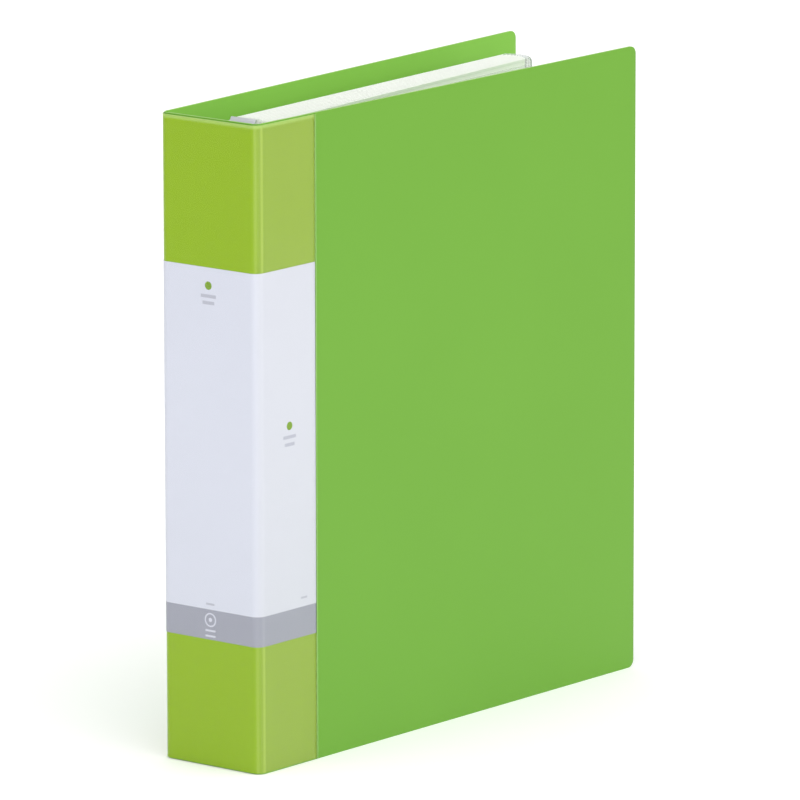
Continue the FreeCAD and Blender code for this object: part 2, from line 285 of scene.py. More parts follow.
def repeat(name, unit, count, start, step, material, variation=0.0, seed=1):
    """An object made of count copies of a unit mesh, as plain mesh. start and step are in mm."""
    piece = new_object(name, unit)
    row = piece.modifiers.new("row", "NODES")
    row.node_group = ROW
    for label, value in (
        ("Count", count),
        ("Start", tuple(v * MM for v in start)),
        ("Step", tuple(v * MM for v in step)),
        ("Variation", variation),
        ("Seed", seed),
        ("Material", material),
    ):
        row[ROW_SOCKETS[label]] = value
    return finished(piece)


print("row group has inputs", list(ROW_SOCKETS))

# %% [markdown]
# ## Materials
#
# Each material is a small procedural network on object coordinates or UV. Most have a slow drift of
# tone, a fine grain for the colour and roughness, and a bump at the grain's true size. Some light is
# painted into the colours: a painted sheen on the flaps, two painted highlights down the corner, a
# painted glow on the green sheet's rims, a painted highlight on the sleeve's rims and a paler, lit
# copy of the green sheet for the covers' insides. The liner is also paler along its top. These are
# part of the colour, so they stay as they are when the light changes.

# %% Materials
def linear(r, g, b):
    """An 8-bit screen colour as linear light."""
    return tuple(
        (c / 255 / 12.92) if c / 255 <= 0.04045 else ((c / 255 + 0.055) / 1.055) ** 2.4 for c in (r, g, b)
    )


class Mat:
    """A material under construction: a few named steps on top of a Principled shader."""

    def __init__(self, name, roughness=0.5, alpha=1.0, metallic=0.0, coat=0.0, coat_roughness=0.1, ior=1.5):
        self.material = bpy.data.materials.new(name)
        self.material.use_nodes = True
        self.nodes, self.links = self.material.node_tree.nodes, self.material.node_tree.links
        self.shader = self.nodes["Principled BSDF"]
        self.set("Roughness", roughness)
        self.set("Alpha", alpha)
        self.set("Metallic", metallic)
        self.set("Coat Weight", coat)
        self.set("Coat Roughness", coat_roughness)
        self.set("IOR", ior)
        self.where = self.nodes.new("ShaderNodeTexCoord")

    def set(self, socket, value):
        self.shader.inputs[socket].default_value = value

    def math(self, operation, a, b=None):
        node = self.nodes.new("ShaderNodeMath")
        node.operation = operation
        for socket, value in zip(node.inputs, (a, b)):
            if value is None:
                continue
            if isinstance(value, (int, float)):
                socket.default_value = value
            else:
                self.links.new(value, socket)
        return node.outputs[0]

    def noise(self, size, stretch=(1, 1, 1), detail=3.0, space="Object"):
        """Noise whose features are about size mm across, before the stretch."""
        scale = self.nodes.new("ShaderNodeMapping")
        scale.inputs["Scale"].default_value = tuple(s / (size * MM) for s in stretch)
        self.links.new(self.where.outputs[space], scale.inputs["Vector"])
        node = self.nodes.new("ShaderNodeTexNoise")
        node.inputs["Scale"].default_value = 1.0
        node.inputs["Detail"].default_value = detail
        self.links.new(scale.outputs[0], node.inputs["Vector"])
        return node.outputs[0]

    def blend(self, factor, a, b):
        """A colour between a and b. Either can be a colour or a socket."""
        node = self.nodes.new("ShaderNodeMix")
        node.data_type = "RGBA"
        for index, value in ((6, a), (7, b)):
            if isinstance(value, tuple):
                node.inputs[index].default_value = (*value, 1.0)
            else:
                self.links.new(value, node.inputs[index])
        self.links.new(factor, node.inputs[0])
        return node.outputs[2]

    def uv(self):
        """The distance along a sheet and the height on it."""
        split = self.nodes.new("ShaderNodeSeparateXYZ")
        self.links.new(self.where.outputs["UV"], split.inputs[0])
        return split.outputs[0], split.outputs[1]

    def soft_step(self, value, start, end, top=1.0):
        """0 at start and top at end, both in mm, with a smooth change between them."""
        node = self.nodes.new("ShaderNodeMapRange")
        node.interpolation_type = "SMOOTHSTEP"
        node.inputs["From Min"].default_value = start * MM
        node.inputs["From Max"].default_value = end * MM
        node.inputs["To Max"].default_value = top
        self.links.new(value, node.inputs["Value"])
        return node.outputs[0]

    def strongest(self, masks):
        """The highest of several masks."""
        total = masks[0]
        for mask in masks[1:]:
            total = self.math("MAXIMUM", total, mask)
        return total

    def colour(self, socket):
        self.links.new(socket, self.shader.inputs["Base Color"])

    def rough(self, factor, low, high):
        node = self.nodes.new("ShaderNodeMapRange")
        node.inputs["To Min"].default_value, node.inputs["To Max"].default_value = low, high
        self.links.new(factor, node.inputs["Value"])
        self.links.new(node.outputs[0], self.shader.inputs["Roughness"])

    def bump(self, height, depth, strength=1.0):
        """Bump of about depth mm."""
        node = self.nodes.new("ShaderNodeBump")
        node.inputs["Strength"].default_value = strength
        node.inputs["Distance"].default_value = depth * MM
        self.links.new(height, node.inputs["Height"])
        self.links.new(node.outputs[0], self.shader.inputs["Normal"])


def two_tone(name, light, dark, drift, grain, depth, rough, **shader):
    """A material that drifts between two colours and has a fine grain."""
    made = Mat(name, **shader)
    slow, fine = made.noise(drift), made.noise(grain, detail=4.0)
    mixed = made.math("ADD", made.math("MULTIPLY", slow, 0.8), made.math("MULTIPLY", fine, 0.2))
    made.colour(made.blend(mixed, linear(*dark), linear(*light)))
    made.rough(fine, *rough)
    made.bump(fine, depth)
    return made


green = two_tone(
    "green_sheet", (107, 164, 49), (102, 158, 44), 90, 0.35, 0.01, (0.45, 0.6), ior=1.4
).material
# painted light: the covers' inner faces are the same sheet, painted paler to brighten them where they lie in
# shade
green_inside_lit = two_tone(
    "green_sheet_inside_lit", (131, 193, 70), (125, 186, 64), 70, 0.45, 0.014, (0.5, 0.65), ior=1.4
).material
# painted glow: the rims are paler, as light coming through the sheet's edges
green_rim_glow = two_tone(
    "green_rim_glow", (150, 198, 90), (136, 186, 78), 12, 0.3, 0.01, (0.3, 0.45), ior=1.4
).material


weld_film = two_tone(
    "weld_film", (127, 180, 74), (121, 174, 68), 6, 0.3, 0.01, (0.3, 0.45), coat=0.2
).material
# painted highlight: the pale rims of the liner and sleeve, and the sleeve's step to its weld, are the light
# their edges catch
sleeve_rim_highlight = two_tone(
    "sleeve_rim_highlight", (200, 230, 146), (188, 220, 130), 6, 0.3, 0.01, (0.25, 0.4), coat=0.3
).material
weld_dash = two_tone(
    "weld_dash", (138, 186, 92), (128, 177, 80), 6, 0.3, 0.01, (0.25, 0.4), coat=0.3
).material

COAT, COAT_ROUGH = 0.25, 0.1  # the sleeve's gloss, seen on what lies under it
UNDER_FILM_IOR = 1.25
FLAP_MARK = SIDE + 21.0  # middle of the marks on a flap, along the sheet
# two painted highlights down the corner, each given by its place, strength, edge and core
CORNER_HIGHLIGHTS = ((0.42, 0.5), (0.93, 1.0))  # shares of the way round the corner, and how strong
HIGHLIGHT_EDGE, HIGHLIGHT_CORE = 1.2, 0.1  # from a crease's middle to where it ends and where it is full
PALE_TOP_BAND = (2.9, 1.2)  # below the top of the album: where the liner's pale head starts and is full


def flap_sheen_mask(made):
    """0 on the spine and 1 on a flap, from the distance along the sheet in its UV: where the painted sheen
    goes.
    """
    return made.soft_step(made.uv()[0], SIDE - CORNER, SIDE + CORNER / 2)


def painted_corner_highlights(made, strength):
    """Two painted highlights: soft pale lines down the corner, where the sleeve is creased."""
    along = made.uv()[0]
    bend = (CORNER + LINER) * math.pi / 2
    lines = []
    for share, weight in CORNER_HIGHLIGHTS:
        off = made.math("SUBTRACT", along, (SIDE - CORNER + bend * share) * MM)
        lines.append(made.soft_step(made.math("ABSOLUTE", off), HIGHLIGHT_EDGE, HIGHLIGHT_CORE, weight))
    return made.math("MULTIPLY", made.strongest(lines), strength)


def lime_material():
    """Tinted sheet seen through the sleeve, with a painted sheen on the flaps, painted highlights at the
    corner and a paler top.
    """
    made = Mat("lime_liner", roughness=0.45, coat=COAT, coat_roughness=COAT_ROUGH, ior=UNDER_FILM_IOR)
    drift, fine = made.noise(80), made.noise(0.5, detail=4.0)
    tone = made.blend(drift, linear(132, 167, 0), linear(136, 171, 1))
    # painted sheen: the flaps are paler, for the film's reflection over them
    tone = made.blend(flap_sheen_mask(made), tone, linear(139, 166, 59))
    # two painted highlights down the corner
    tone = made.blend(painted_corner_highlights(made, 0.4), tone, linear(188, 210, 104))
    # the liner is paler along its top
    head = made.soft_step(made.uv()[1], HEIGHT - PALE_TOP_BAND[0], HEIGHT - PALE_TOP_BAND[1])
    tone = made.blend(made.math("MULTIPLY", head, 0.85), tone, linear(167, 198, 104))
    made.colour(made.blend(made.math("MULTIPLY", fine, 0.1), tone, linear(130, 164, 8)))
    made.rough(fine, 0.4, 0.5)
    return made.material


def label_material():
    """White paper with a grey band at its foot, a few plain printed marks, a painted sheen on its flaps and
    faint painted highlights down the corner.

    The marks are bars, a ring and a dot: they stand where a label has its title, and say nothing.
    """
    made = Mat("paper_label", roughness=0.5, coat=COAT, coat_roughness=COAT_ROUGH, ior=UNDER_FILM_IOR)
    fibre = made.noise(0.6, detail=5.0, space="UV")
    drift = made.noise(60, space="UV")
    along, up = made.uv()

    def inside(low, high, value):
        return made.math(
            "MULTIPLY", made.math("GREATER_THAN", value, low * MM), made.math("LESS_THAN", value, high * MM)
        )

    def bar(centre, height, width, tall):
        return made.math(
            "MULTIPLY",
            inside(centre - width / 2, centre + width / 2, along),
            inside(height - tall / 2, height + tall / 2, up),
        )

    def disc(centre, height, radius):
        dx = made.math("SUBTRACT", along, centre * MM)
        dy = made.math("SUBTRACT", up, height * MM)
        far = made.math("SQRT", made.math("ADD", *(made.math("MULTIPLY", d, d) for d in (dx, dy))))
        return made.math("LESS_THAN", far, radius * MM)

    white = made.blend(drift, linear(204, 207, 219), linear(201, 204, 216))
    # painted sheen: the flaps get a less blue white
    white = made.blend(flap_sheen_mask(made), white, linear(201, 203, 211))
    paper = made.blend(made.math("MULTIPLY", fibre, 0.25), white, linear(196, 199, 211))
    grey = made.blend(fibre, linear(153, 155, 167), linear(148, 150, 162))
    # the same painted sheen on the flaps' grey, at half strength
    grey = made.blend(made.math("MULTIPLY", flap_sheen_mask(made), 0.5), grey, linear(151, 153, 163))
    band = inside(0, BAND_TOP, up)
    # the same two painted highlights down the corner, faint on the paper
    base = made.blend(painted_corner_highlights(made, 0.05), made.blend(band, paper, grey), linear(236, 239, 246))
    # discs are (middle along, middle height, radius) and bars (the same, width, height), in mm
    for_green = made.strongest([disc(0, 231, 2.0), disc(FLAP_MARK, 164.3, 2.0)])
    ink = made.strongest(
        [bar(0, 226, 9.0, 1.6), bar(0, 222.8, 7.0, 1.6), bar(FLAP_MARK, 159, 9.0, 1.6)]
        + [bar(FLAP_MARK, 155.4, 7.0, 1.6), bar(FLAP_MARK + 9.8, 80.3, 4.5, 1.0), bar(0, 78.6, 5.0, 1.0)]
    )
    ring = made.math("SUBTRACT", disc(0, 71, 3.4), disc(0, 71, 2.7))
    pale = made.strongest([ring, disc(0, 71, 1.0), bar(0, 65.8, 6.0, 0.9), bar(0, 63.2, 6.0, 0.9)])
    base = made.blend(for_green, base, linear(118, 152, 44))
    base = made.blend(ink, base, linear(174, 176, 188))
    made.colour(made.blend(pale, base, linear(198, 200, 212)))
    made.bump(fibre, 0.002)
    return made.material


def film_material(name, alpha, tint, roughness):
    """Clear film: mostly seen through, with faint ripples that show in its highlights."""
    made = Mat(name, roughness=roughness, alpha=alpha, ior=1.45)
    ripple = made.noise(25, detail=2.0)
    made.colour(made.blend(ripple, linear(*tint), (1.0, 1.0, 1.0)))
    made.rough(ripple, roughness * 0.8, roughness * 1.3)
    made.bump(ripple, 0.03, 0.5)
    return made.material


def steel_material(name, light, dark, rough, stretch, grain, **shader):
    """Plated steel with a faint drawn grain."""
    made = Mat(name, metallic=1.0, **shader)
    drawn, slow = made.noise(grain, stretch), made.noise(18)
    mixed = made.math("ADD", made.math("MULTIPLY", drawn, 0.4), made.math("MULTIPLY", slow, 0.6))
    made.colour(made.blend(mixed, linear(*dark), linear(*light)))
    made.rough(mixed, *rough)
    made.bump(drawn, 0.004)
    return made.material


label = label_material()
lime = lime_material()
sleeve_film = film_material("clear_sleeve", 0.008, (236, 244, 226), 0.08)
pocket_film = film_material("pocket_film", 0.2, (244, 248, 246), 0.12)
plate_steel = steel_material("plate_steel", (214, 216, 220), (186, 188, 194), (0.28, 0.42), (1, 1, 0.04), 0.4)
ring_steel = steel_material("ring_wire", (226, 228, 232), (204, 206, 211), (0.12, 0.22), (1, 1, 1), 0.6)
lever_steel = steel_material("lever_steel", (228, 231, 234), (202, 205, 210), (0.22, 0.36), (1, 0.05, 1), 0.4)
card_paper = two_tone(
    "leaf_card", (253, 255, 250), (250, 254, 247), 50, 0.5, 0.008, (0.6, 0.75)
).material
pocket_weld = two_tone(
    "pocket_weld", (232, 238, 238), (214, 222, 222), 5, 0.3, 0.01, (0.25, 0.4)
).material
# painted shadow: a grey strip for the shaded line along the foremost leaf's top edge
painted_head_shade = two_tone(
    "painted_head_shade", (243, 248, 240), (233, 240, 229), 7, 0.3, 0.01, (0.3, 0.45)
).material
print(len(bpy.data.materials), "materials")

# %% [markdown]
# ## Sheets that bend at the corners of the spine
#
# The board, liner, label and sleeve all follow one kind of path: down the spine, round its corner
# and out along the cover. Each is built as if the album were closed, and then leans as its cover
# does. The front piece has the whole spine, and the back piece starts where the spine's back
# corner does.

# %% Bent sheets
def bend_line(way):
    """Where the bend starts on the spine and where it ends on the cover, in mm."""
    return (FACE, way * (SIDE - CORNER)), (WEB_END, way * SIDE)


def leaned(x, y, way):
    """A point of the closed album, moved by how far the cover stands open at rest."""
    (x0, y0), (x1, y1) = bend_line(way)
    dx, dy = x1 - x0, y1 - y0
    t = min(max(((x - x0) * dx + (y - y0) * dy) / (dx * dx + dy * dy), 0), 1)
    turn = math.radians(way * SPLAY[way]) * t * t * (3 - 2 * t)
    px, py = x - HINGE_X, y - way * HINGE_SIDE
    return (
        HINGE_X + px * math.cos(turn) - py * math.sin(turn),
        way * HINGE_SIDE + px * math.sin(turn) + py * math.cos(turn),
    )


def bent_columns(way, spine_x, cover_side, radius, depth, stations):
    """Columns for slab() along the outer face of one layer.

    stations are (kind, value) pairs: "y" is a place on the spine, "turn" an angle round the corner
    and "x" a place on the cover. depth(kind, value) is the thickness there, and may return a foot
    and top as well.
    """
    centre_x, centre_y = spine_x + radius, way * (cover_side - radius)
    columns = []
    for kind, value in stations:
        thick, foot, top = depth(kind, value)
        if kind == "y":
            outer, normal = (spine_x, value), (-1.0, 0.0)
            along = abs(value) if value * way > 0 else -abs(value)
        elif kind == "turn":
            angle = math.radians(value)
            normal = (-math.cos(angle), way * math.sin(angle))
            outer = (centre_x + radius * normal[0], centre_y + radius * normal[1])
            along = abs(centre_y) + radius * angle
        else:
            outer, normal = (value, way * cover_side), (0.0, float(way))
            along = abs(centre_y) + radius * math.pi / 2 + value - centre_x
        inner = (outer[0] - normal[0] * thick, outer[1] - normal[1] * thick)
        columns.append((leaned(*outer, way), leaned(*inner, way), along, foot, top))
    return columns


def spread(low, high, count):
    return [low + (high - low) * i / (count - 1) for i in range(count)]


def stations_for(way, radius, spine_x, end):
    """Stations from the far corner of the spine, or from the near one on the back, to an end."""
    start = -way * (SIDE - CORNER)
    along_spine = spread(start, way * (SIDE - CORNER), 13)[:-1] if way == FRONT else []
    corner = spread(0, 90, 19)
    first = spine_x + radius
    along_cover = spread(first, end, 14)[1:]
    return (
        [("y", v) for v in along_spine] + [("turn", v) for v in corner] + [("x", v) for v in along_cover]
    )


def finish_bend(piece, way, slot, *nodes):
    """Bakes a piece's placement into its mesh and hides the CAD nodes it stands for."""
    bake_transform(piece)
    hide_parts(*nodes)


# %% Boards
WEB_TAPER = 12  # degrees of the corner, at each end, over which the sheet thins to the web


def board_depth(kind, value):
    """The sheet's thickness, and its foot and top, which draw in at the rounded fore corners."""
    if kind == "turn":
        edge = min(value, 90 - value) / WEB_TAPER
        thick = WEB + (BOARD - WEB) * (1 - min(edge, 1.0)) ** 2
    else:
        thick = BOARD
    draw_in = 0.0
    if kind == "x" and value > FORE - FORE_RADIUS:
        reach = value - (FORE - FORE_RADIUS)
        draw_in = FORE_RADIUS - math.sqrt(max(FORE_RADIUS**2 - reach**2, 0))
    return thick, draw_in, HEIGHT - draw_in


for way in (FRONT, BACK):
    straight = stations_for(way, CORNER, FACE, FORE - FORE_RADIUS)
    fore_turn = [
        ("x", FORE - FORE_RADIUS + FORE_RADIUS * math.sin(math.radians(a))) for a in spread(0, 90, 13)[1:]
    ]
    columns = bent_columns(way, FACE, SIDE, CORNER, board_depth, straight + fore_turn)
    piece = slab(f"{SIDE_NAME[way]}_sheet", columns, joined_start=True)
    # the rims get a painted glow and the inner faces the paler copy painted for light
    dress(piece, green, green_rim_glow, green_inside_lit)
    round_edges(piece, 0.16, angle=60)
    smooth(piece, 40)
    spine_nodes = ["spine_board"] if way == FRONT else []
    finish_bend(
        piece,
        way,
        "green_sheet",
        *spine_nodes,
        f"{SIDE_NAME[way]}_hinge_web",
        f"{SIDE_NAME[way]}_cover",
    )
    print(piece.name, len(piece.data.polygons), "faces")

# %% Liner, label and sleeve
def weld_the_end(sleeve):
    """Gives the pressed strip at the end of a sleeve the weld's material, and the step to it the rim's
    painted highlight.
    """
    layer = sleeve.data.uv_layers[0].data
    end = max(loop.uv[0] for loop in layer)
    for polygon in sleeve.data.polygons:
        places = [layer[i].uv[0] for i in polygon.loop_indices]
        if min(places) > end - 1.1 * WELD * MM:
            step = max(places) - min(places) < 0.1 * MM and max(places) < end - 0.1 * MM
            polygon.material_index = 1 if step else 3


# name, how far it lies outside the liner, thickness, foot, top, reach of its flaps, slot, edge
wrap_top = HEIGHT - WRAP_INSET
layers = [
    ("liner", 0.0, LINER, WRAP_INSET, wrap_top, FLAP - WELD, "lime_liner", 0.06),
    ("label", LINER + LAYER_GAP, LABEL, LABEL_FOOT, LABEL_TOP, FLAP - WELD, "paper_label", 0.03),
    ("sleeve", LINER + LABEL + 2 * LAYER_GAP, FILM, WRAP_INSET, wrap_top, FLAP, "clear_sleeve", 0.05),
]
# the rims' pale colour is a painted highlight
layer_materials = {
    "liner": (lime, sleeve_rim_highlight, lime),
    "label": (label, label, label),
    "sleeve": (sleeve_film, sleeve_rim_highlight, sleeve_film, weld_film),
}
weld_start, weld_step = FACE + FLAP - WELD, 0.02
for name, under, thick, foot, top, reach, slot, edge in layers:
    for way in (FRONT, BACK):
        spine_x = FACE - ROOM_SPINE - under - thick
        cover_side = SIDE + ROOM_COVER + under + thick
        radius = CORNER + ROOM_COVER + under + thick
        stations = stations_for(way, radius, spine_x, FACE + reach)
        if name == "sleeve":
            stations[-1:-1] = [("x", weld_start - weld_step), ("x", weld_start)]

        def depth(kind, value):
            pressed = name == "sleeve" and kind == "x" and value >= weld_start
            return under + thick if pressed else thick, foot, top

        columns = bent_columns(way, spine_x, cover_side, radius, depth, stations)
        piece = slab(f"{SIDE_NAME[way]}_{name}", columns, joined_start=True)
        if name == "sleeve":
            weld_the_end(piece)
        dress(piece, *layer_materials[name])
        round_edges(piece, edge, angle=60)
        smooth(piece, 40)
        spine_nodes = [f"{name}_spine"] if way == FRONT else []
        finish_bend(piece, way, slot, *spine_nodes, f"{name}_{SIDE_NAME[way]}_flap")

# %% [markdown]
# ## Welds
#
# The sleeve is closed by a row of dashes pressed into the film, beside the end of each flap.

# %% Weld dashes
LOZENGE_SIDES = 12
LOZENGE_STEPS = ((1.0, 0.0), (1.0, 0.45), (0.72, 1.0))  # shares of its outline and of its height


def lozenge(name, width, length, tall):
    """A low pad with rounded ends, lying in XZ with its top towards -Y. Sizes in mm."""
    mesh = bpy.data.meshes.new(name)
    work = bmesh.new()
    rings = []
    for grow, lift in LOZENGE_STEPS:
        ring = []
        for i in range(LOZENGE_SIDES):
            angle = math.radians(360 / LOZENGE_SIDES * (i + 0.5))
            round_x = math.cos(angle) * width / 2 * grow
            straight = (length - width) / 2 * (1 if math.sin(angle) > 0 else -1)
            round_z = math.sin(angle) * width / 2 * grow + straight
            ring.append(work.verts.new((round_x * MM, -lift * tall * MM, round_z * MM)))
        rings.append(ring)
    for low, high in zip(rings, rings[1:]):
        for i in range(LOZENGE_SIDES):
            j = (i + 1) % LOZENGE_SIDES
            work.faces.new((low[i], low[j], high[j], high[i]))
    work.faces.new(rings[-1])
    work.faces.new(list(reversed(rings[0])))
    bmesh.ops.recalc_face_normals(work, faces=work.faces)
    work.to_mesh(mesh)
    work.free()
    return mesh


DASH_PITCH, DASH, DASH_WIDE, DASH_TALL = 5.0, 3.0, 0.7, 0.14
DASH_COUNT = int((HEIGHT - 2 * WRAP_INSET - DASH) / DASH_PITCH)
for way in (FRONT, BACK):
    outer = SIDE + ROOM_COVER + LINER + LABEL + 2 * LAYER_GAP + FILM
    first = (HEIGHT - (DASH_COUNT - 1) * DASH_PITCH) / 2
    piece = repeat(
        f"{SIDE_NAME[way]}_weld",
        lozenge("dash", DASH_WIDE, DASH, DASH_TALL),
        DASH_COUNT,
        (FACE + FLAP - WELD / 2, 0, first),
        (0, 0, DASH_PITCH),
        weld_dash,
        variation=0.06,
        seed=3,
    )
    for vertex in piece.data.vertices:
        x, y = vertex.co.x / MM, vertex.co.y / MM
        x, y = leaned(x, way * (outer - y), way)
        vertex.co = Vector((x * MM, y * MM, vertex.co.z))
    if way == BACK:
        piece.data.flip_normals()
    smooth(piece, 50)
    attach(piece, BODY[way])
    print(piece.name, len(piece.data.polygons), "faces")

# %% [markdown]
# ## Ring mechanism
#
# Each half ring is round wire swept along an arc and down a straight leg, with a chamfered tip. One
# unit is made for each side, and the row group sets it out along the spine. The plate, rivets, pins
# and levers are the CAD's shapes with their sharp edges rounded.

# %% Half rings
WIRE_SIDES = 14
TIP_CHAMFER = ((0.0, 0.62), (0.12, 0.8), (0.3, WIRE))  # back from the tip, and the radius there
KNEE_ROOM = 0.09  # radians of arc left for the turn into the leg
KNEE_LEG = 1.2  # length of leg taken up by that turn
LEG_SINK = 1.0  # how far the leg's foot lies past the blade's near face


def swept_wire(name, path, radii):
    """Round wire along a path in the XY plane, as a closed mesh. path and radii are in mm."""
    mesh = bpy.data.meshes.new(name)
    work = bmesh.new()
    rings = []
    for i, (x, y) in enumerate(path):
        ahead, behind = path[min(i + 1, len(path) - 1)], path[max(i - 1, 0)]
        tx, ty = ahead[0] - behind[0], ahead[1] - behind[1]
        size = math.hypot(tx, ty)
        nx, ny = -ty / size, tx / size
        ring = []
        for k in range(WIRE_SIDES):
            angle = 2 * math.pi * k / WIRE_SIDES
            across, up = radii[i] * math.cos(angle), radii[i] * math.sin(angle)
            ring.append(work.verts.new(((x + nx * across) * MM, (y + ny * across) * MM, up * MM)))
        rings.append(ring)
    for low, high in zip(rings, rings[1:]):
        for k in range(WIRE_SIDES):
            j = (k + 1) % WIRE_SIDES
            work.faces.new((low[k], low[j], high[j], high[k]))
    work.faces.new(list(reversed(rings[0])))
    work.faces.new(rings[-1])
    bmesh.ops.recalc_face_normals(work, faces=work.faces)
    work.to_mesh(mesh)
    work.free()
    return mesh


def ring_path(way):
    """The centre line from the tip round to the foot of the leg, and the wire's radius along it."""
    tip = math.asin(TIP_GAP / RING_RADIUS)
    knee = math.pi - math.asin(LEG_SIDE / RING_RADIUS)
    angles = [tip + back / RING_RADIUS for back, _ in TIP_CHAMFER]
    angles += spread(angles[-1] + 0.03, knee - KNEE_ROOM, 46)
    points = [(RING_AXIS + RING_RADIUS * math.cos(a), way * RING_RADIUS * math.sin(a)) for a in angles]
    start = points[-1]
    corner = (RING_AXIS + RING_RADIUS * math.cos(knee), way * LEG_SIDE)
    turn_end = (corner[0] - KNEE_LEG, corner[1])
    for t in spread(0, 1, 7)[1:]:
        weights = ((1 - t) ** 2, 2 * t * (1 - t), t * t)
        points.append(
            tuple(sum(w * p[i] for w, p in zip(weights, (start, corner, turn_end))) for i in (0, 1))
        )
    blade_low, _ = span(f"{SIDE_NAME[way]}_blade")
    points.append((blade_low[0] + LEG_SINK, way * LEG_SIDE))
    chamfer = [radius for _, radius in TIP_CHAMFER]
    return points, chamfer + [WIRE] * (len(points) - len(chamfer))


for way in (FRONT, BACK):
    points, radii = ring_path(way)
    piece = repeat(
        f"{SIDE_NAME[way]}_rings",
        swept_wire("half ring", points, radii),
        RING_COUNT,
        (0, 0, ROW_FOOT),
        (0, 0, RING_PITCH),
        ring_steel,
    )
    smooth(piece, 50)
    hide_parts(f"{SIDE_NAME[way]}_half_rings")
    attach(piece, f"{SIDE_NAME[way]}_ring_half")
    print(piece.name, len(piece.data.polygons), "faces")


# %% Plate, blades, levers, rivets and pins
def softened(name, node, body, material, edge):
    """A copy of a CAD node with its sharp edges rounded, standing for the node."""
    source = frame["nodes"][node]
    mesh = source.data.copy()
    work = bmesh.new()
    work.from_mesh(mesh)
    bmesh.ops.transform(work, matrix=source.matrix_world, verts=work.verts)
    bmesh.ops.remove_doubles(work, verts=work.verts, dist=2e-6)
    bmesh.ops.dissolve_limit(
        work, angle_limit=math.radians(0.6), verts=work.verts, edges=work.edges, delimit=set()
    )
    bmesh.ops.recalc_face_normals(work, faces=work.faces)
    work.to_mesh(mesh)
    work.free()
    piece = new_object(name, mesh)
    dress(piece, material)
    round_edges(piece, edge, angle=50)
    smooth(piece, 30)
    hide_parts(node)
    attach(piece, body)
    print(name, len(piece.data.polygons), "faces")


softened("arched_plate", "ring_plate", "spine", plate_steel, 0.12)
softened("plate_rivets", "rivets", "spine", plate_steel, 0.18)
softened("pins", "lever_pins", "spine", plate_steel, 0.15)
softened("top_thumb_lever", "top_lever", "top_lever", lever_steel, 0.2)
softened("bottom_thumb_lever", "bottom_lever", "bottom_lever", lever_steel, 0.2)
for name in ("front_blade", "back_blade"):
    dress(frame["nodes"][name], plate_steel)

# %% [markdown]
# ## Leaves
#
# The punched cards are carried over from the CAD. The pocket rows on both faces are remade as thin
# films that bulge a little between their welds and gape at their open tops, joined past the card's
# fore edge in a clear margin with its own weld dashes. The foremost leaf also has a slightly grey
# strip along its head, a painted shadow line at its top edge.

# %% Leaves
LEAF_COUNT = 10
LEAF_FOOT, LEAF_TOP = 5.0, HEIGHT - 5.0
CARD, POCKET = 0.35, 0.12
MARGIN = 6.0
HEAD_SHADE = 1.5
POCKET_ROWS, POCKET_EDGE, POCKET_SPACE = 6, 3.0, 3.0
STACK_BACK = 8.6  # rearmost leaf, from the middle plane
STACK_PITCH = (STACK_BACK + RING_RADIUS - 4.6) / (LEAF_COUNT - 1)
LEAN, FAN = -0.3, -0.17  # the rearmost leaf's turn, and each next one's more, in degrees


def leaf_turned(number):
    """How a leaf is turned about the ring axis. Number 0 is the rearmost leaf."""
    turn = Matrix.Rotation(math.radians(-(LEAN + FAN * number)), 4, "Z")
    return Matrix.Translation((RING_AXIS * MM, 0, 0)) @ turn


def leaf_reach(node, number):
    """Where a leaf's piece starts and ends outwards from the ring axis, in the leaf's own plane, in mm."""
    source = frame["nodes"][node]
    back = leaf_turned(number).inverted() @ source.matrix_world
    places = [(back @ vertex.co).x / MM for vertex in source.data.vertices]
    return min(places), max(places)


REAR_LEAF = f"leaf_{LEAF_COUNT:02d}"
CARD_START = leaf_reach(f"{REAR_LEAF}_card", 0)[0]
POCKETS_START, POCKETS_END = leaf_reach(f"{REAR_LEAF}_pockets", 0)
LEAF_WIDE, POCKET_START = POCKETS_END - CARD_START, POCKETS_START - CARD_START
HOLE_SHIFT = CARD_START - math.sqrt(RING_RADIUS**2 - STACK_BACK**2)


def pocket_strip(side, wide, tall):
    """One row of pocket on one face of a leaf: a thin closed film with a slight bulge. In mm."""
    across, rise = 22, 6
    mesh = bpy.data.meshes.new("pocket strip")
    work = bmesh.new()
    sheets = []
    for layer in (0, 1):
        grid = []
        for i in range(across + 1):
            u = i / across
            held = min(1.0, 12 * u, 12 * (1 - u))
            column = []
            for j in range(rise + 1):
                v = j / rise
                bulge = 0.10 * held * math.sin(math.pi * min(v * 0.8, 1.0)) ** 0.7 if v > 0 else 0.0
                depth = CARD / 2 + 0.005 + bulge + layer * POCKET
                column.append(
                    work.verts.new((u * wide * MM, side * depth * MM, v * tall * MM))
                )
            grid.append(column)
        sheets.append(grid)
    for layer, grid in enumerate(sheets):
        for i in range(across):
            for j in range(rise):
                work.faces.new((grid[i][j], grid[i + 1][j], grid[i + 1][j + 1], grid[i][j + 1]))
    low, high = sheets
    for i in range(across):
        for j in (0, rise):
            work.faces.new((low[i][j], low[i + 1][j], high[i + 1][j], high[i][j]))
    for j in range(rise):
        for i in (0, across):
            work.faces.new((low[i][j], low[i][j + 1], high[i][j + 1], high[i][j]))
    bmesh.ops.recalc_face_normals(work, faces=work.faces)
    work.to_mesh(mesh)
    work.free()
    return mesh


def margin_strip(x0, x1, half, foot, top, radius):
    """The clear margin past the card's fore edge, with rounded outer corners. In mm."""
    bend = x1 - radius
    round_end = [bend + radius * math.sin(math.radians(a)) for a in spread(0, 90, 8)[1:]]
    columns = []
    for x in [x0, bend] + round_end:
        reach = max(x - bend, 0)
        draw_in = radius - math.sqrt(max(radius**2 - reach**2, 0))
        columns.append(((x, -half), (x, half), x, foot + draw_in, top - draw_in))
    return slab("margin", columns)


